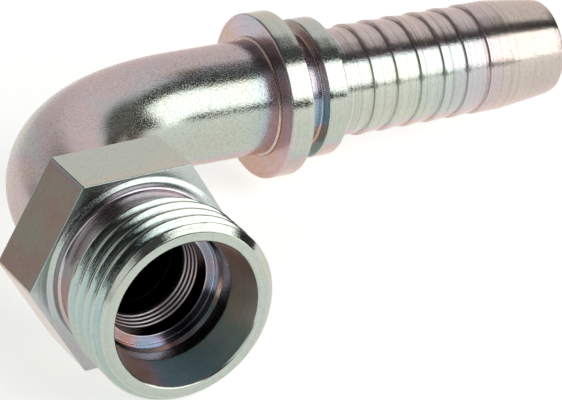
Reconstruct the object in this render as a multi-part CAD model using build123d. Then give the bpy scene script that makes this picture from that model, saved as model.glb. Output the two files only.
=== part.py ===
from build123d import *
from build123d.topology import SkipClean
from math import radians, tan
import os

# 90 degree swept-elbow hose end: M18 x 1.5 male stud with a 24 degree cone, crimp tail for hose.
# Millimetres, +Z up.  The origin is the centre of the tube stop, the shoulder inside the stud that
# a 12 mm tube's end rests on.  The stud points along -Y and the hose tail along +X; both axes lie
# in the plane Z = 0.  The pieces are built with Y measured from the stud's mouth and moved to the
# tube stop as they are written out.

# Threaded body: stations are distances from the mouth, along +Y
THREAD_D = 18.0
THREAD_PITCH = 1.5
THREAD_DEPTH = 0.92
CREST_FLAT = 0.25
STUD_LENGTH = 10.0
STUD_END_R = 8.25
LEAD_CHAMFER = 0.75
RELIEF_R = 8.0
RELIEF_START = 6.1
RELIEF_FILLET = 0.4
HEX_AF = 19.0
HEX_THICKNESS = 7.0
HEX_CLOCKING = 2.0
CONE_HALF_ANGLE = 12.0
CONE_MOUTH_R = 7.2
MOUTH_BREAK = 0.15
CONE_END = 3.9
RING_END = 5.3
SOCKET_R = 6.1
SOCKET_END = 6.5
THROAT_R = 5.2
THROAT_END = 8.2
BODY_BORE_R = 4.5
BODY_BORE_START = 9.8

# Bent tube, 12 x 1.5
TUBE_R = 6.0
TUBE_BORE_R = 4.5
BEND_R = 19.3
HOSE_AXIS_Y = 40.35

# Brazed sockets: the filler fills the clearance and leaves a small fillet outside
BRAZE_R = 6.1
BODY_SOCKET_DEPTH = 5.0
TAIL_SOCKET_DEPTH = 2.2
BODY_FILLET = 0.9
TAIL_FILLET = 0.45
FILLET_HOLLOW = 1.2

# Hose tail: stations are X
COLLAR_1 = (28.3, 30.9, 8.7)
COLLAR_2 = (33.4, 35.7, 7.35)
EDGE_BREAK = 0.2
GROOVE_R = 6.0
NECK_R = 5.7
BARB_START = 39.6
BARB_PITCH = 2.87
BARB_COUNT = 6
BARB_R = 5.95
BARB_LAND = 0.35
NOSE_START = 57.3
NOSE_R = 5.3
NOSE_END = 62.9
TIP_R = 4.6
TAIL_END = 64.0
TAIL_BORE_R = 4.0

BODY_BACK = STUD_LENGTH + HEX_THICKNESS
TUBE_START = BODY_BACK - BODY_SOCKET_DEPTH
TUBE_END = COLLAR_1[0] + TAIL_SOCKET_DEPTH
SECTORS = 12
SECTOR_START = 10.0


def outline(*edges):
    """Closed (radius, station) outline in the XZ half-plane."""
    return Plane.XZ * make_face(edges)


def turned(points, arc=360):
    """Revolve a closed (radius, station) polygon about local Z."""
    return revolve(outline(Polyline(*points, close=True)), axis=Axis.Z, revolution_arc=arc)


def thread_groove():
    """The V-shaped groove between the crests, one continuous right-hand helix."""
    root_r = THREAD_D / 2 - THREAD_DEPTH
    over = 0.15
    mouth_half = (THREAD_PITCH - CREST_FLAT) / 2
    slope = tan(radians(30))
    root_half = mouth_half - THREAD_DEPTH * slope
    top_half = mouth_half + over * slope
    start = -THREAD_PITCH
    path = Pos(Z=start) * Helix(THREAD_PITCH, RELIEF_START + 0.6 - start, root_r)
    section = Plane.XZ * make_face(Polyline(
        (root_r, start - root_half),
        (root_r + THREAD_DEPTH + over, start - top_half),
        (root_r + THREAD_DEPTH + over, start + top_half),
        (root_r, start + root_half),
        close=True,
    ))
    return sweep(section, path=path, is_frenet=True)


def stud():
    """Threaded end and relief groove, in equal sectors so that each crest face is a short arc."""
    crest = THREAD_D / 2
    ramp = (crest - RELIEF_R) / tan(radians(30))
    root = (RELIEF_R, STUD_LENGTH - RELIEF_FILLET)
    shoulder = (RELIEF_R + RELIEF_FILLET, STUD_LENGTH)
    blank = revolve(outline(
        Polyline((0, 0), (STUD_END_R, 0), (crest, LEAD_CHAMFER), (crest, RELIEF_START),
                 (RELIEF_R, RELIEF_START + ramp * 0.5), root),
        RadiusArc(root, shoulder, RELIEF_FILLET),
        Polyline(shoulder, (0, STUD_LENGTH), (0, 0)),
    ), axis=Axis.Z)
    threaded = blank - thread_groove()
    wedge = turned([(0, -1), (2 * crest, -1), (2 * crest, STUD_LENGTH + 1), (0, STUD_LENGTH + 1)],
                   360 / SECTORS)
    sectors = [threaded & Rot(Z=SECTOR_START + 360 / SECTORS * i) * wedge for i in range(SECTORS)]
    return sectors[0].fuse(*sectors[1:])


def hexagon():
    """Plain hexagon with sharp corners on both faces."""
    prism = extrude(RegularPolygon(HEX_AF / 2, 6, major_radius=False), HEX_THICKNESS)
    return Pos(Z=STUD_LENGTH) * Rot(Z=-HEX_CLOCKING) * prism


def body_passage():
    """Everything bored out of the body, from the 24 degree cone to the tube's braze socket."""
    cone_end_r = CONE_MOUTH_R - (CONE_END - MOUTH_BREAK) * tan(radians(CONE_HALF_ANGLE))
    return turned([
        (0, -1),
        (CONE_MOUTH_R + MOUTH_BREAK + 1, -1),
        (CONE_MOUTH_R + MOUTH_BREAK, 0),
        (CONE_MOUTH_R, MOUTH_BREAK),
        (cone_end_r, CONE_END),
        (cone_end_r, RING_END),
        (SOCKET_R, RING_END + cone_end_r - SOCKET_R),
        (SOCKET_R, SOCKET_END),
        (THROAT_R, SOCKET_END),
        (THROAT_R, THROAT_END),
        (BODY_BORE_R, BODY_BORE_START),
        (BODY_BORE_R, TUBE_START),
        (BRAZE_R, TUBE_START),
        (BRAZE_R, BODY_BACK + 1),
        (0, BODY_BACK + 1),
    ])


def threaded_body():
    """The crest keeps its sector seams, so the faces are not merged again after each cut."""
    with SkipClean():
        return Rot(X=-90) * (stud() + hexagon() - body_passage())


def bent_tube():
    start = (0, TUBE_START, 0)
    bend_start = (0, HOSE_AXIS_Y - BEND_R, 0)
    bend_end = (BEND_R, HOSE_AXIS_Y, 0)
    path = Line(start, bend_start)
    path += TangentArc(bend_start, bend_end, tangent=(0, 1, 0))
    path += Line(bend_end, (TUBE_END, HOSE_AXIS_Y, 0))
    ring = Plane(start, z_dir=(0, 1, 0)) * (Circle(TUBE_R) - Circle(TUBE_BORE_R))
    return sweep(ring, path=path)


def collar(start, end, radius):
    return [(radius - EDGE_BREAK, start), (radius, start + EDGE_BREAK),
            (radius, end - EDGE_BREAK), (radius - EDGE_BREAK, end)]


def barbs():
    points = []
    for i in range(BARB_COUNT):
        start = BARB_START + BARB_PITCH * i
        points += [(NECK_R, start), (BARB_R, start + 0.05), (BARB_R, start + BARB_LAND)]
    return points[:-1]


def on_hose_axis(shape):
    """Turn a shape built about Z so that it lies about the hose axis."""
    return Pos(Y=HOSE_AXIS_Y) * Rot(Y=90) * shape


def hose_tail():
    return on_hose_axis(turned([
        (BRAZE_R, COLLAR_1[0]),
        *collar(*COLLAR_1),
        (GROOVE_R, COLLAR_1[1]),
        (GROOVE_R, COLLAR_2[0]),
        *collar(*COLLAR_2),
        (NECK_R, COLLAR_2[1]),
        *barbs(),
        (BARB_R, NOSE_START),
        (NOSE_R, NOSE_END),
        (NOSE_R - 0.25, NOSE_END + 0.55),
        (TIP_R, TAIL_END),
        (TAIL_BORE_R + 0.2, TAIL_END),
        (TAIL_BORE_R, TAIL_END - 0.2),
        (TAIL_BORE_R, TUBE_END),
        (BRAZE_R, TUBE_END),
    ]))


def braze_ring(face, depth, leg, direction):
    """Filler in the socket clearance, with its hollow fillet on the face the tube comes out of."""
    on_face = (BRAZE_R + leg, face)
    on_tube = (TUBE_R, face + direction * leg)
    bottom = face - direction * depth
    return revolve(outline(
        Polyline(on_tube, (TUBE_R, bottom), (BRAZE_R, bottom), (BRAZE_R, face), on_face),
        RadiusArc(on_face, on_tube, direction * leg * FILLET_HOLLOW),
    ), axis=Axis.Z)


def body_braze():
    return Rot(X=-90) * braze_ring(BODY_BACK, BODY_SOCKET_DEPTH, BODY_FILLET, 1)


def tail_braze():
    return on_hose_axis(braze_ring(COLLAR_1[0], TAIL_SOCKET_DEPTH, TAIL_FILLET, -1))


NODES = {
    "threaded_body": threaded_body,
    "bent_tube": bent_tube,
    "hose_tail": hose_tail,
    "body_braze": body_braze,
    "tail_braze": tail_braze,
}

os.makedirs("parts", exist_ok=True)
for name, build in NODES.items():
    export_step(Pos(Y=-SOCKET_END) * build(), f"parts/{name}.step")
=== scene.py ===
import bpy
import math
import bmesh
from collections import namedtuple
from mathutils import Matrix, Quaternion, Vector, noise


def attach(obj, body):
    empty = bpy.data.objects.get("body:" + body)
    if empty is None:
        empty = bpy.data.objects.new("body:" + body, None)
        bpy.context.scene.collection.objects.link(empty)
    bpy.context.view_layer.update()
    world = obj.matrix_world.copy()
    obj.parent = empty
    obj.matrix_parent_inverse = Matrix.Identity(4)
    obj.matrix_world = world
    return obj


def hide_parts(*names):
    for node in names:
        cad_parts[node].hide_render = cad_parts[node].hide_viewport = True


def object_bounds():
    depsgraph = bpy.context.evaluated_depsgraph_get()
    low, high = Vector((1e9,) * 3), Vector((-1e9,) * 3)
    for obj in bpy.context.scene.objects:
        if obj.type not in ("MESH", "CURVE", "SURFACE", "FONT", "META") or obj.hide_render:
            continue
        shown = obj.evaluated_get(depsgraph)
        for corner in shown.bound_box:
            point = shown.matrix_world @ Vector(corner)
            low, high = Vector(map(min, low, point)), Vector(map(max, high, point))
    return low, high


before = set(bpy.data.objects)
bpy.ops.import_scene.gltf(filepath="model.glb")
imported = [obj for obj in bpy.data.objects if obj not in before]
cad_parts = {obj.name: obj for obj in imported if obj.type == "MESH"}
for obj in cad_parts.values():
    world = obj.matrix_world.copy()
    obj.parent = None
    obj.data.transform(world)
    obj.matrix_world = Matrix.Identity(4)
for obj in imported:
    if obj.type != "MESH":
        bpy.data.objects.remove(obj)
cad_lo, cad_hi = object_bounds()

MM = 0.001
scene = bpy.context.scene

# ---------------------------------------------------------------- dimensions, mm
MOUTH_Y = -6.5
HOSE_Y = 33.85
BEND_R = 19.3
TUBE_R = 6.0
BORE_R = 4.5
HEX_AF = 19.0
HEX_CLOCKING = math.radians(2.0)

# Threaded body: radii, and stations from its mouth
CREST_R = 9.0
THREAD_DEPTH = 0.92
PITCH = 1.5
CREST_SHARE = 0.167
ROOT_SHARE = 0.125
RELIEF_R = 8.0
CONE_MOUTH_R = 7.2
CONE_END = 3.9
STOP = 6.5
HEX_FRONT = 10.0
HEX_BACK = 17.0

# Hose tail: stations along the hose axis
COLLAR_X = 28.3
BARB_START = 39.6
BARB_PITCH = 2.87
BARB_COUNT = 6
BARB_R = 5.95


# ---------------------------------------------------------------- mesh helpers
def new_mesh(name, verts, faces, slot, *nodes):
    """One smooth-shaded piece from vertices in millimetres; it stands for the named CAD nodes."""
    mesh = bpy.data.meshes.new(name)
    mesh.from_pydata([Vector(v) * MM for v in verts], [], faces)
    bm = bmesh.new()
    bm.from_mesh(mesh)
    bmesh.ops.remove_doubles(bm, verts=bm.verts, dist=2e-6)
    bmesh.ops.recalc_face_normals(bm, faces=bm.faces)
    for f in bm.faces:
        f.smooth = True
    bm.to_mesh(mesh)
    bm.free()
    obj = bpy.data.objects.new(name, mesh)
    scene.collection.objects.link(obj)
    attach(obj, "root")
    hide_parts(*nodes)
    return obj


def grid_faces(rows, cols, close_rows=False):
    """Quads of a grid that is closed around its columns, and around its rows if asked."""
    faces = []
    for i in range(rows if close_rows else rows - 1):
        a, b = i * cols, (i + 1) % rows * cols
        for j in range(cols):
            k = (j + 1) % cols
            faces.append((a + j, a + k, b + k, b + j))
    return faces


def rounded(points, steps=4):
    """Closed outline of (radius, station, edge radius) corners, each corner eased by its radius."""
    out = []
    n = len(points)
    for i, (r, z, e) in enumerate(points):
        p = Vector((r, z))
        a = Vector(points[i - 1][:2]) - p
        b = Vector(points[(i + 1) % n][:2]) - p
        reach = min(a.length, b.length) * 0.48
        if e <= 0 or reach < 1e-4:
            out.append((r, z))
            continue
        turn = a.angle(b)
        cut = min(e / math.tan(turn / 2), reach)
        start, end = p + a.normalized() * cut, p + b.normalized() * cut
        for k in range(steps + 1):
            t = k / steps
            q = start * (1 - t) ** 2 + p * 2 * t * (1 - t) + end * t ** 2
            out.append((q.x, q.y))
    return out


def divided(points, longest):
    """The closed outline with its long runs divided, so that the surface shades evenly."""
    out = []
    for i, a in enumerate(points):
        b = points[(i + 1) % len(points)]
        n = max(1, math.ceil(math.dist(a, b) / longest))
        for k in range(n):
            t = k / n
            out.append((a[0] + (b[0] - a[0]) * t, a[1] + (b[1] - a[1]) * t))
    return out


def lathe(points, cols, place, wobble=None):
    """Revolved closed outline. place maps (radius, station, angle) to a point."""
    verts = []
    for r, z in points:
        for j in range(cols):
            t = math.tau * j / cols
            dr = wobble(r, z, t) if wobble else 0.0
            verts.append(place(r + dr, z, t))
    return verts, grid_faces(len(points), cols, close_rows=True)


def on_stud(r, y, t):
    return (r * math.cos(t), y, r * math.sin(t))


def on_hose(r, x, t):
    return (x, HOSE_Y + r * math.cos(t), r * math.sin(t))


# ---------------------------------------------------------------- threaded body
def smooth_step(x):
    x = max(0.0, min(1.0, x))
    return x * x * (3 - 2 * x)


def soft_max(a, b, width):
    h = max(width - abs(a - b), 0.0) / width
    return max(a, b) + h * h * width / 4


def thread_radius(s, t):
    """Radius of the 60 degree thread at station s from the mouth and angle t about the stud axis."""
    away = abs((s / PITCH + t / math.tau) % 1.0 - 0.5) * 2
    flank = 1 - (away - CREST_SHARE) / (1 - ROOT_SHARE - CREST_SHARE)
    eased = soft_max(flank, 0.0, 0.16)
    eased = -soft_max(-eased, -1.0, 0.12)
    return CREST_R - THREAD_DEPTH + THREAD_DEPTH * eased


def hex_radius(t, ease=0.25):
    """Distance to the side of the hexagon, its corners eased by a small radius."""
    side = (t - HEX_CLOCKING) % (math.pi / 3) - math.pi / 6
    off = math.pi / 6 - abs(side)
    centre = (HEX_AF / 2 - ease) / math.cos(math.pi / 6)
    if off < math.atan2(ease * 0.5, centre + ease * math.cos(math.pi / 6)):
        return centre * math.cos(off) + math.sqrt(ease ** 2 - (centre * math.sin(off)) ** 2)
    return HEX_AF / 2 / math.cos(side)


def body_columns():
    """Angles about the stud: even steps, with more of them close to the hexagon's corners."""
    angles = {round(math.tau * j / 180, 6) for j in range(180)}
    for i in range(6):
        corner = HEX_CLOCKING + math.pi / 3 * i
        for k in (-1.6, -1.2, -0.8, -0.5, -0.25, 0, 0.25, 0.5, 0.8, 1.2, 1.6):
            angles.add(round((corner + math.radians(k)) % math.tau, 6))
    return sorted(angles)


def threaded_body():
    """Cone, thread, relief groove, hexagon and braze socket as one closed skin."""
    columns = body_columns()
    rows = []

    def turned(r, s):
        rows.append([(r, s)] * len(columns))

    # Passage, from the braze socket forward: bore, ridged bevel, throat, stop, ring, cone, mouth
    passage = [(6.06, HEX_BACK, 0), (6.06, 12.0, 0), (BORE_R, 12.0, 0), (BORE_R, 9.85, 0.1)]
    for i in range(4):
        passage += [(4.56 + 0.17 * i, 9.52 - 0.40 * i, 0.08), (4.70 + 0.17 * i, 9.44 - 0.40 * i, 0.08)]
    passage[-1:] = [
        (5.2, 8.25, 0.1), (5.2, STOP, 0.12), (6.1, STOP, 0.1), (6.1, 5.75, 0.12), (6.4, 5.35, 0.15),
        (6.4, CONE_END + 0.05, 0.12), (CONE_MOUTH_R, 0.16, 0.1), (7.34, 0.0, 0.05), (8.25, 0.0, 0),
    ]
    keep = divided(rounded(passage, 3), 0.3)
    last = keep.index(min(keep, key=lambda p: math.dist(p, (8.1, 0.0))))
    for r, s in keep[:last + 1]:
        turned(r, s)

    # Stud: thread cut into a chamfered cylinder, running out into the relief groove
    steps = 150
    for i in range(steps + 1):
        s = 0.02 + 6.6 * i / steps
        lead = 8.2 + s * 1.05
        relief = CREST_R if s < 6.1 else max(RELIEF_R, CREST_R - (s - 6.1) * 1.75)
        row = []
        for t in columns:
            row.append((min(thread_radius(s, t), lead, relief), s))
        rows.append(row)
    for s in (6.75, 7.3, 8.0, 8.7, 9.4):
        turned(RELIEF_R, s)
    fillet = 0.35
    for k in range(7):
        a = math.pi / 2 * k / 6
        turned(RELIEF_R + fillet * (1 - math.cos(a)), 9.4 + fillet * math.sin(a))

    # Hexagon: low washer face with its chamfer, front face, eased edge, flats, back face
    edge = 0.1
    for r, s in ((8.5, 9.75), (8.7, 9.75), (8.76, 9.765), (8.82, 9.795), (9.0, 9.89), (9.16, 9.975),
                 (9.22, 9.995), (9.3, HEX_FRONT)):
        turned(r, s)
    profile = [(edge, 0.0)]
    profile += [(edge * (1 - math.sin(a)), edge * (1 - math.cos(a)))
                for a in [math.pi / 2 * k / 4 for k in range(1, 5)]]
    profile += [(0.0, z) for z in (0.2, 0.3, 0.42, 0.6, 1.2, 2.4, 3.5)]
    profile += [(d, HEX_BACK - HEX_FRONT - z) for d, z in reversed(profile[:-1])]
    for d, z in profile:
        row = []
        for t in columns:
            row.append((hex_radius(t) - d, HEX_FRONT + z))
        rows.append(row)
    for r in (9.2, 8.4, 7.6, 6.8):
        turned(r, HEX_BACK)

    verts = [on_stud(r, MOUTH_Y + s, t) for row in rows for (r, s), t in zip(row, columns)]
    faces = grid_faces(len(rows), len(columns), close_rows=True)
    return new_mesh("stud_body", verts, faces, "body_zinc", "threaded_body")


# ---------------------------------------------------------------- bent tube
def tube_centre(d):
    """Point and direction at distance d along the tube's centre line, from inside the hexagon."""
    first = HOSE_Y - BEND_R - 5.5
    arc = BEND_R * math.pi / 2
    if d <= first:
        return (0.0, 5.5 + d), (0.0, 1.0)
    if d <= first + arc:
        a = (d - first) / BEND_R
        return ((BEND_R - BEND_R * math.cos(a), HOSE_Y - BEND_R + BEND_R * math.sin(a)),
                (math.sin(a), math.cos(a)))
    return (BEND_R + d - first - arc, HOSE_Y), (1.0, 0.0)


def bent_tube():
    """Drawn tube, a touch flattened through the bend, with its wall closed at both ends."""
    first = HOSE_Y - BEND_R - 5.5
    arc = BEND_R * math.pi / 2
    total = first + arc + 30.5 - BEND_R
    rows_out, cols = 150, 128
    verts = []
    stations = [total * i / rows_out for i in range(rows_out + 1)]
    for radius, order in ((TUBE_R, stations), (BORE_R, stations[::-1])):
        for d in order:
            (cx, cy), (dx, dy) = tube_centre(d)
            bend = smooth_step((d - first + 2) / 6) * smooth_step((first + arc + 2 - d) / 6)
            for j in range(cols):
                t = math.tau * j / cols
                # n points to the outside of the bend, z is up
                oval = 1 - 0.006 * bend * (1 + math.cos(2 * t))
                n = radius * math.cos(t) * oval
                z = radius * math.sin(t) * (1 - 0.001 * bend)
                verts.append((cx - dy * n, cy + dx * n, z))
    rows = 2 * (rows_out + 1)
    return new_mesh("elbow_tube", verts, grid_faces(rows, cols, close_rows=True),
                    "tube_zinc", "bent_tube")


# ---------------------------------------------------------------- hose tail
def hose_tail():
    """Crimp collars, barbs and nose turned from one bar, every edge broken."""
    points = [
        (6.06, COLLAR_X, 0),
        (8.7, COLLAR_X, 0.2), (8.7, 30.9, 0.2),
        (6.0, 30.9, 0.25), (6.0, 33.4, 0.25),
        (7.35, 33.4, 0.15), (7.35, 35.7, 0.18),
        (5.72, 35.7, 0.35),
    ]
    for i in range(BARB_COUNT):
        start = BARB_START + BARB_PITCH * i
        points += [(5.7, start, 0.03), (BARB_R, start + 0.06, 0.08), (BARB_R, start + 0.38, 0.12)]
    points[-1:] = [
        (BARB_R, 57.0, 0.5), (5.87, 58.0, 0.9), (5.74, 59.2, 0.9), (5.61, 60.4, 0.9), (5.48, 61.5, 0.9),
        (5.30, 62.9, 0.5), (5.12, 63.7, 0.28), (4.70, 64.0, 0.12), (4.2, 64.0, 0.1), (4.0, 63.8, 0.08),
        (4.0, 30.5, 0), (6.06, 30.5, 0),
    ]
    outline = divided(rounded(points, 4), 0.6)
    verts, faces = lathe(outline, 160, on_hose)
    return new_mesh("barbed_tail", verts, faces, "tail_zinc", "hose_tail")


# ---------------------------------------------------------------- braze fillets
def braze(name, node, face, direction, leg_face, leg_tube, depth, place, seed):
    """Filler in the socket and its hollow fillet, a little uneven round the joint."""
    on_tube = (TUBE_R + 0.004, face + direction * leg_tube)
    on_face = (6.1 + leg_face, face + direction * 0.004)
    arc = []
    for k in range(9):
        t = k / 8
        corner = Vector((6.12, face + direction * 0.03))
        q = Vector(on_face) * (1 - t) ** 2 + corner * 2 * t * (1 - t) + Vector(on_tube) * t ** 2
        arc.append((q.x, q.y))
    outline = arc + [(TUBE_R + 0.004, face - direction * depth), (6.055, face - direction * depth)]
    outline += [(6.055, face - direction * 0.02)]

    def wobble(r, z, t):
        if abs(z - face) < 0.02 and r > 6.4:
            return 0.10 * noise.noise(Vector((math.cos(t) * 2, math.sin(t) * 2, seed))) - 0.06
        return 0.0

    verts, faces = lathe(outline, 128, place, wobble)
    return new_mesh(name, verts, faces, "braze", node)


# ---------------------------------------------------------------- node trees
class Nodes:
    """Short-hand for building a node tree."""

    def __init__(self, tree):
        self.tree = tree

    def add(self, kind, **values):
        node = self.tree.nodes.new(kind)
        for key, value in values.items():
            setattr(node, key, value)
        return node

    def link(self, a, b):
        self.tree.links.new(a, b)

    def put(self, value, socket):
        if isinstance(value, bpy.types.NodeSocket):
            self.link(value, socket)
        else:
            socket.default_value = value

    def math(self, op, a, b=0.0, c=0.0, clamp=False):
        node = self.add("ShaderNodeMath", operation=op, use_clamp=clamp)
        for socket, value in zip(node.inputs, (a, b, c)):
            self.put(value, socket)
        return node.outputs[0]

    def add_up(self, a, b):
        return self.math("ADD", a, b)

    def times(self, a, b):
        return self.math("MULTIPLY", a, b)

    def most(self, a, b):
        return self.math("MAXIMUM", a, b)

    def scaled(self, value, slope, start):
        """value * slope + start."""
        return self.math("MULTIPLY_ADD", value, slope, start)

    def step(self, value, low, high):
        """0 below low, 1 above high, eased between."""
        node = self.add("ShaderNodeMapRange", interpolation_type="SMOOTHSTEP")
        self.link(value, node.inputs["Value"])
        node.inputs["From Min"].default_value = low
        node.inputs["From Max"].default_value = high
        return node.outputs["Result"]

    def fall(self, value, low, high):
        """1 below low, 0 above high, eased between."""
        return self.math("SUBTRACT", 1.0, self.step(value, low, high))

    def window(self, value, low, high, ease):
        """1 between low and high, 0 outside, eased at both ends."""
        return self.math("SUBTRACT", self.step(value, low - ease, low),
                         self.step(value, high, high + ease))

    def blend(self, fac, a, b):
        """a where fac is 0, b where it is 1, for plain numbers."""
        node = self.add("ShaderNodeMix", data_type="FLOAT")
        self.link(fac, node.inputs[0])
        self.put(a, node.inputs[2])
        self.put(b, node.inputs[3])
        return node.outputs[0]

    def mix(self, fac, a, b, blend="MIX"):
        """The same for colours."""
        node = self.add("ShaderNodeMix", data_type="RGBA", blend_type=blend)
        self.put(fac, node.inputs[0])
        self.put(a, node.inputs[6])
        self.put(b, node.inputs[7])
        return node.outputs[2]

    def ramp(self, value, stops):
        node = self.add("ShaderNodeValToRGB")
        self.link(value, node.inputs[0])
        while len(node.color_ramp.elements) < len(stops):
            node.color_ramp.elements.new(0.5)
        for element, (at, colour) in zip(node.color_ramp.elements, stops):
            element.position = at
            element.color = (*colour, 1)
        return node.outputs[0]

    def noise(self, vector, scale, detail=3.0, rough=0.55, distortion=0.0):
        node = self.add("ShaderNodeTexNoise")
        self.link(vector, node.inputs["Vector"])
        node.inputs["Scale"].default_value = scale
        node.inputs["Detail"].default_value = detail
        node.inputs["Roughness"].default_value = rough
        node.inputs["Distortion"].default_value = distortion
        return node.outputs["Fac"]

    def split(self, vector):
        node = self.add("ShaderNodeSeparateXYZ")
        self.link(vector, node.inputs[0])
        return node.outputs

    def combine(self, x, y, z):
        node = self.add("ShaderNodeCombineXYZ")
        for socket, value in zip(node.inputs, (x, y, z)):
            self.put(value, socket)
        return node.outputs[0]

    def across(self, u, v):
        """Length of the vector (u, v)."""
        return self.math("SQRT", self.add_up(self.times(u, u), self.times(v, v)))

    def axial(self, centre, axis):
        """(distance along the axis, radius, place) in millimetres, measured from the centre."""
        geo = self.add("ShaderNodeTexCoord")
        shift = self.add("ShaderNodeVectorMath", operation="SUBTRACT")
        self.link(geo.outputs["Object"], shift.inputs[0])
        shift.inputs[1].default_value = [c * MM for c in centre]
        scale = self.add("ShaderNodeVectorMath", operation="SCALE")
        self.link(shift.outputs[0], scale.inputs[0])
        scale.inputs["Scale"].default_value = 1 / MM
        parts = dict(zip("XYZ", self.split(scale.outputs[0])))
        along = parts.pop(axis)
        return along, self.across(*parts.values()), scale.outputs[0]


# ---------------------------------------------------------------- zinc plate
PALE = (0.53, 0.52, 0.495)
BRAZE = (0.58, 0.53, 0.50)
# Near black for painted shade, in the bores and behind the cone
UNLIT = (0.02, 0.018, 0.015, 1)
EDGE_TINT = (1.0, 0.9, 0.88, 1)

# Colours that a clear passivate film runs through as it thickens: thin and pale, then deep
FILM = [
    (0.00, (1.00, 0.98, 0.86)),
    (0.20, (1.00, 0.87, 0.81)),
    (0.36, (0.98, 0.82, 0.89)),
    (0.50, (0.88, 0.90, 1.00)),
    (0.64, (0.85, 0.98, 0.98)),
    (0.80, (0.89, 1.00, 0.92)),
    (1.00, (1.00, 0.98, 0.86)),
]
DEEP = [
    (0.00, (0.54, 0.46, 0.38)),
    (0.20, (0.60, 0.36, 0.28)),
    (0.36, (0.58, 0.44, 0.50)),
    (0.50, (0.36, 0.44, 0.56)),
    (0.64, (0.23, 0.44, 0.48)),
    (0.80, (0.36, 0.47, 0.42)),
    (1.00, (0.54, 0.46, 0.38)),
]

# Multipliers for the colour: faint stains, specks in the grain, and lines left by the tool.
# PITS is where the grain is rougher.
STAIN = [(0.30, (0.86, 0.85, 0.84)), (0.48, (1.0, 1.0, 1.0)), (1.0, (1.0, 1.0, 1.0))]
SPECK = [(0.28, (0.72, 0.72, 0.71)), (0.46, (1.0, 1.0, 1.0)), (0.7, (1.06, 1.06, 1.06))]
LINES = [(0.34, (0.12, 0.12, 0.12)), (0.43, (0.96, 0.96, 0.95)), (0.62, (1.45, 1.45, 1.43))]
PITS = [(0.48, (0.0, 0.0, 0.0)), (0.62, (1.0, 1.0, 1.0))]

# film: mean thickness, 0 to 1 through FILM; deep: from FILM to DEEP; rough: added roughness;
# unlit: painted shade, how far the colour goes to black where light hardly reaches; calm: how much
# the grain's relief is levelled
Finish = namedtuple("Finish", "film deep rough unlit calm", defaults=(0.0, 0.0, 0.0, 0.0))


def film_colour(n, place, finish, base, film_swing, strength):
    """Base metal tinted by the film, whose thickness drifts slowly and in small clouds."""
    drift = n.noise(place, 0.16, 2.0, 0.5, 0.6)
    cloud = n.noise(place, 0.9, 3.0, 0.6, 0.3)
    swing = n.scaled(drift, film_swing * 2, -film_swing)
    swing = n.scaled(cloud, 0.24, n.add_up(swing, -0.12))
    thickness = n.math("FRACT", n.add_up(finish.film, swing))
    metal = base + (1,)
    pale = n.mix(strength, metal, n.mix(1.0, metal, n.ramp(thickness, FILM), "MULTIPLY"))
    return n.mix(finish.deep, pale, n.ramp(thickness, DEEP))


def zinc(name, base, rough, look, centre=(0, 0, 0), axis="X", film_swing=0.3, strength=0.85,
         grain=0.5, marks=None, turned=None):
    """Bright zinc plate under a thin iridescent passivate.

    look gives the Finish at a position.  marks gives the depth in millimetres of the tool marks
    that run round the axis.  turned gives the anisotropy and its rotation, in turns.
    """
    mat = bpy.data.materials.new(name)
    mat.use_nodes = True
    n = Nodes(mat.node_tree)
    bsdf = mat.node_tree.nodes["Principled BSDF"]
    along, radius, place = n.axial(centre, axis)
    finish = look(n, along, radius, place)

    grit = n.noise(place, 4.6, 2.5, 0.7)
    stain = n.noise(place, 2.2, 4.0, 0.7)
    colour = film_colour(n, place, finish, base, film_swing, strength)
    colour = n.mix(0.8, colour, n.mix(1.0, colour, n.ramp(stain, STAIN), "MULTIPLY"))
    colour = n.mix(grain, colour, n.mix(1.0, colour, n.ramp(grit, SPECK), "MULTIPLY"))
    relief = grain * 0.022
    height = n.times(grit, n.scaled(finish.calm, -0.8 * relief, relief))
    if marks:
        depth = marks(n, along, radius)
        rings = n.combine(along, radius, 0.0)
        lines = n.ramp(n.noise(rings, 2.6, 5.0, 0.85), LINES)
        amount = n.math("MULTIPLY", depth, 14.0, clamp=True)
        colour = n.mix(amount, colour, n.mix(1.0, colour, lines, "MULTIPLY"))
        height = n.add_up(height, n.times(n.noise(rings, 3.6, 5.0, 0.85), depth))
    # Painted shade: the colour is pulled toward near black as far as the look's unlit asks
    n.link(n.mix(finish.unlit, colour, UNLIT), bsdf.inputs["Base Color"])
    bsdf.inputs["Metallic"].default_value = 1.0
    bsdf.inputs["Specular Tint"].default_value = EDGE_TINT
    if turned:
        tangent = n.add("ShaderNodeTangent", direction_type="RADIAL", axis=axis)
        n.link(tangent.outputs[0], bsdf.inputs["Tangent"])
        amount, rotation = turned(n, along, radius)
        n.put(amount, bsdf.inputs["Anisotropic"])
        n.put(rotation, bsdf.inputs["Anisotropic Rotation"])

    # Roughness wanders in patches and rises in the fine pits of the grain
    patch = n.scaled(n.noise(place, 0.45, 3.0, 0.6), 0.10, rough - 0.05)
    pits = n.ramp(n.noise(place, 6.5, 2.0, 0.7), PITS)
    pitted = n.scaled(pits, 0.36 * grain, finish.rough)
    n.link(n.math("ADD", patch, n.add_up(pitted, -0.04), clamp=True), bsdf.inputs["Roughness"])

    dents = n.noise(place, 0.8, 2.0, 0.5)
    bump = n.add("ShaderNodeBump")
    bump.inputs["Strength"].default_value = 1.0
    bump.inputs["Distance"].default_value = MM
    n.link(n.scaled(dents, 0.008, height), bump.inputs["Height"])
    n.link(bump.outputs[0], bsdf.inputs["Normal"])
    return mat


# ---------------------------------------------------------------- finish of each piece
def from_mouth(n, along):
    """Station on the body, measured as in threaded_body."""
    return n.math("SUBTRACT", along, MOUTH_Y)


def hex_front(n, s):
    """The hexagon's front face with the washer face and the end of the relief's fillet."""
    return n.window(s, HEX_FRONT - 0.3, HEX_FRONT + 0.06, 0.06)


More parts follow.
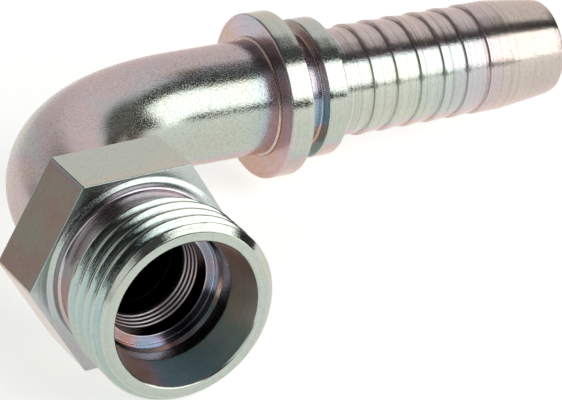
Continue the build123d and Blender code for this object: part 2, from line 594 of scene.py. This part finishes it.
def body_look(n, along, radius, place):
    """Deep brown and teal film in a satin cone, paler and brighter outside, painted shade darkening the
    passage.
    """
    x, y, z = n.split(place)
    s = from_mouth(n, along)
    turn = n.math("DIVIDE", n.math("ARCTAN2", z, x), math.tau)
    low_left = n.fall(turn, -0.33, -0.27)
    below = n.fall(z, -1.0, 3.0)

    # Zones of the passage
    inside = n.times(n.fall(radius, CONE_MOUTH_R, CONE_MOUTH_R + 0.06), n.window(s, 0.2, 16.9, 0.08))
    in_cone = n.times(inside, n.fall(s, CONE_END - 0.1, CONE_END))
    ring = n.times(inside, n.step(s, CONE_END - 0.1, CONE_END))
    land = n.times(ring, n.fall(s, 5.3, 5.5))
    stop = n.times(ring, n.window(s, STOP - 0.82, STOP + 0.1, 0.08))
    bevel = n.times(ring, n.window(s, 8.2, 9.9, 0.1))
    # Painted shade: the bore behind the bevel is held dark in the colour
    bore = n.times(n.step(s, 9.85, 10.4), n.fall(radius, BORE_R + 0.1, BORE_R + 0.3))

    # Zones outside
    thread = n.times(n.fall(s, 6.5, 6.9), n.step(radius, 7.8, RELIEF_R))
    flank = n.times(thread, n.times(n.fall(radius, 8.78, 8.92), n.step(s, 0.6, 0.8)))
    relief = n.times(n.window(s, 6.5, 9.6, 0.3), n.window(radius, 7.6, 8.5, 0.1))
    front = hex_front(n, s)
    flats = n.times(n.step(radius, 9.4, 9.45), n.window(s, HEX_FRONT + 0.15, HEX_BACK - 0.1, 0.1))
    side = n.times(flats, n.step(n.times(x, -1.0), 5.6, 6.2))
    lip = n.times(flats, n.fall(s, 10.1, 12.9))

    # Film thickness, zone over zone
    mottle = n.step(n.noise(place, 0.2, 2.0, 0.5), 0.34, 0.66)
    cone = n.scaled(low_left, -0.24, n.scaled(turn, 1.5, 1.0))
    film = n.blend(lip, 0.78, 0.97)
    film = n.blend(side, film, n.scaled(mottle, 0.26, -0.06))
    film = n.blend(front, film, n.scaled(below, -0.17, 0.66))
    film = n.blend(relief, film, n.scaled(below, -0.20, 0.42))
    film = n.blend(in_cone, film, cone)
    film = n.blend(ring, film, n.scaled(low_left, -0.22, 0.46))
    film = n.blend(flank, film, 0.74)

    # Deeper film on the thread's flanks: passivate pooled in the grooves, and painted shade heavier on
    # the left side
    pooled_and_shaded = n.scaled(n.step(x, -6.0, 1.0), -0.38, 0.5)
    deep = n.most(n.times(side, 0.42), n.times(relief, 0.22))
    deep = n.most(deep, n.most(n.times(in_cone, 0.96), n.times(stop, 0.8)))
    deep = n.most(deep, n.times(flank, pooled_and_shaded))

    rough = n.scaled(in_cone, 0.27, n.times(front, 0.06))
    for zone, amount in ((bevel, 0.30), (stop, 0.14), (land, 0.22), (thread, -0.04)):
        rough = n.scaled(zone, amount, rough)

    # Painted shade: the wall behind the cone is held nearly black along its lower right, but not on the
    # bevel
    shaded = n.times(ring, n.times(n.window(turn, -0.21, -0.06, 0.025), 0.8))
    shaded = n.times(shaded, n.math("SUBTRACT", 1.0, bevel))
    return Finish(film, deep, rough, n.most(bore, shaded), inside)


def body_turned(n, along, radius):
    """Stretched reflections on the hexagon's front and, a quarter turn round, in the cone."""
    s = from_mouth(n, along)
    in_cone = n.times(n.fall(radius, CONE_MOUTH_R, CONE_MOUTH_R + 0.06),
                      n.window(s, 0.2, CONE_END - 0.1, 0.08))
    amount = n.most(n.times(hex_front(n, s), 0.6), n.times(in_cone, 0.75))
    return amount, n.times(in_cone, 0.25)


def body_marks(n, along, radius):
    """Tool marks everywhere but on the hexagon's drawn flats."""
    s = from_mouth(n, along)
    on_flats = n.times(n.step(radius, 9.35, 9.45), n.window(s, HEX_FRONT + 0.1, HEX_BACK - 0.1, 0.08))
    return n.scaled(on_flats, -0.0115, 0.012)


def tube_look(n, along, radius, place):
    """Greenish along the middle; pink above, below and round the bend's outside; lilac by the collar;
    painted shade in the bore.
    """
    x, y, z = n.split(place)
    near_collar = n.step(along, COLLAR_X - 3.8, COLLAR_X)
    bend = n.fall(along, 1.0, 11.0)
    upper = n.times(n.step(z, 4.2, 5.6), 0.8)
    lower = n.fall(z, -4.6, -2.6)
    outer = n.fall(x, -4.5, -1.5)
    patches = n.times(bend, n.step(n.noise(place, 0.22, 2.0, 0.5), 0.56, 0.68))
    pink = n.most(n.most(upper, lower), n.most(outer, patches))
    film = n.blend(near_collar, n.scaled(pink, -0.54, 0.80), 0.42)
    # Painted shade: the bore where the tube sits in the body is darkened toward black
    wall = n.fall(n.across(x, z), 4.9, 5.4)
    bore = n.times(wall, n.fall(y, 12.0, 13.0))
    return Finish(film, n.times(near_collar, 0.4), n.times(bend, 0.03), bore)


def tail_look(n, along, radius, place):
    """Lilac and brown on the collars' faces; green on the turned part's middle, pink round it; painted
    shade in the bore.
    """
    x, y, z = n.split(place)
    lower = n.fall(z, -4.6, -2.4)
    upper = n.times(n.times(n.step(z, 3.4, 4.8), n.step(along, 36.0, 38.0)), 0.85)
    nose = n.step(along, 44.0, 58.0)
    face = n.fall(along, COLLAR_X + 0.06, COLLAR_X + 0.2)
    groove = n.times(n.window(along, 30.95, 33.4, 0.06), n.fall(radius, 8.45, 8.55))
    groove_floor = n.times(n.times(groove, n.fall(radius, 6.1, 6.3)), n.fall(z, -2.4, -1.0))

    film = n.scaled(n.most(n.most(lower, upper), nose), -0.60, 0.82)
    film = n.blend(face, film, n.scaled(z, 0.010, 0.28))
    film = n.blend(groove, film, n.scaled(z, -0.022, 0.52))
    film = n.blend(groove_floor, film, 0.14)

    faces = n.most(face, groove)
    deep = n.times(faces, n.scaled(n.step(z, 1.0, 5.5), -0.3, 0.8))
    # Painted shade darkens the tail's bore
    return Finish(film, deep, n.times(faces, 0.10), n.fall(radius, 4.1, 4.3))


def tail_marks(n, along, radius):
    """Coarse marks over the barbs, fine ones on the nose and the collars."""
    return n.scaled(n.window(along, 36.0, 57.0, 0.5), 0.016, 0.013)


def plain_look(n, along, radius, place):
    return Finish(0.2)


def tail_turned(n, along, radius):
    return 0.4, 0.0


body = threaded_body()
tube = bent_tube()
tail = hose_tail()
ring_a = braze("body_fillet", "body_braze", MOUTH_Y + HEX_BACK, 1, 0.6, 0.6, 4.9, on_stud, 1.0)
ring_b = braze("tail_fillet", "tail_braze", COLLAR_X, -1, 0.17, 0.17, 2.1, on_hose, 4.0)

body.data.materials.append(zinc("body_zinc", PALE, 0.09, body_look, axis="Y", film_swing=0.16,
                                grain=0.3, marks=body_marks, turned=body_turned))
tube.data.materials.append(zinc("tube_zinc", PALE, 0.15, tube_look, film_swing=0.22, grain=0.8))
tail.data.materials.append(zinc("tail_zinc", PALE, 0.09, tail_look, (0, HOSE_Y, 0), "X", 0.2, 0.82,
                                grain=0.5, marks=tail_marks, turned=tail_turned))
braze_mat = zinc("braze_zinc", BRAZE, 0.2, plain_look, grain=0.6)
for ring in (ring_a, ring_b):
    ring.data.materials.append(braze_mat)


# ---------------------------------------------------------------- studio
def floor():
    mesh = bpy.data.meshes.new("floor")
    z = cad_lo.z
    mesh.from_pydata([(-4, -4, z), (4, -4, z), (4, 4, z), (-4, 4, z)], [], [(0, 1, 2, 3)])
    obj = bpy.data.objects.new("floor", mesh)
    scene.collection.objects.link(obj)
    mat = bpy.data.materials.new("floor_paint")
    mat.use_nodes = True
    n = Nodes(mat.node_tree)
    bsdf = mat.node_tree.nodes["Principled BSDF"]
    coords = n.add("ShaderNodeTexCoord")
    soft = n.noise(coords.outputs["Object"], 12.0, 3.0)
    paint = n.ramp(soft, [(0.3, (0.86, 0.865, 0.85)), (0.7, (0.88, 0.885, 0.87))])
    n.link(paint, bsdf.inputs["Base Color"])
    bsdf.inputs["Roughness"].default_value = 0.9
    bsdf.inputs["Specular IOR Level"].default_value = 0.1
    bsdf.inputs["Emission Color"].default_value = (0.98, 1.0, 0.98, 1)
    bsdf.inputs["Emission Strength"].default_value = 0.62
    mesh.materials.append(mat)


def softbox(name, azimuth, elevation, roll, distance, width, height, power):
    """Rectangular light that looks at the part. Azimuth 0 is in front, along -Y; positive is to +X."""
    light = bpy.data.lights.new(name, "AREA")
    light.shape = "RECTANGLE"
    light.size, light.size_y = width, height
    light.energy = power
    a, e = math.radians(azimuth), math.radians(elevation)
    back = Vector((math.sin(a) * math.cos(e), -math.cos(a) * math.cos(e), math.sin(e)))
    obj = bpy.data.objects.new(name, light)
    obj.location = Vector((0.02, 0.02, 0)) + back * distance
    obj.rotation_mode = "QUATERNION"
    obj.rotation_quaternion = back.to_track_quat("Z", "Y") @ Quaternion((0, 0, 1), math.radians(roll))
    scene.collection.objects.link(obj)


def studio_walls():
    """Room round the part, by direction: pale screen behind it, dark ceiling and dark sides."""
    world = bpy.data.worlds.new("studio")
    scene.world = world
    world.use_nodes = True
    n = Nodes(world.node_tree)
    out = world.node_tree.nodes["Background"]
    coords = n.add("ShaderNodeTexCoord")
    x, y, z = n.split(coords.outputs["Generated"])

    # Where the screen begins, going back over the part; it reaches further forward on the right
    backward = n.math("DIVIDE", y, n.across(y, z))
    backward = n.scaled(n.step(x, 0.47, 0.51), 0.28, backward)
    backward = n.scaled(n.step(x, 0.58, 0.68), -0.07, backward)
    behind = n.step(backward, 0.2, 0.36)

    # The screen is brightest right of the middle and dark far right; its left is dimmer, dark high up
    left = n.blend(n.step(z, 0.46, 0.56), 0.72, 0.10)
    left = n.blend(n.step(x, -0.52, -0.38), 0.36, left)
    screen = n.blend(n.step(x, 0.16, 0.42), left, 0.92)
    screen = n.blend(n.step(x, 0.72, 0.84), screen, 0.12)

    # The side of the camera is dark but for one reflector on the left
    front = n.blend(n.step(z, 0.5, 0.75), 0.03, 0.08)
    reflector = n.times(n.window(x, -0.80, -0.52, 0.08), n.window(y, -0.9, -0.3, 0.1))
    front = n.blend(reflector, front, 0.95)

    n.link(n.blend(behind, front, screen), out.inputs["Strength"])
    out.inputs["Color"].default_value = (1.0, 0.98, 0.97, 1)


floor()
studio_walls()
softbox("key", 41.4, 28.4, -27, 0.6, 0.74, 0.49, 2.5)

# Camera: place in mm, turn in degrees, focal length in picture widths
CAMERA_AT = Vector((-112.29, -214.83, 126.03))
CAMERA_TURN = (64.214, -2.830, -28.829)
FOCAL = 3000.0 / 562.0

camera = bpy.data.cameras.new("camera")
camera.sensor_width = 36.0
camera.lens = FOCAL * camera.sensor_width
camera.clip_start, camera.clip_end = 0.01, 20
cam = bpy.data.objects.new("camera", camera)
cam.location = CAMERA_AT * MM
cam.rotation_euler = [math.radians(a) for a in CAMERA_TURN]
scene.collection.objects.link(cam)
scene.camera = cam
scene.view_settings.view_transform = "Standard"
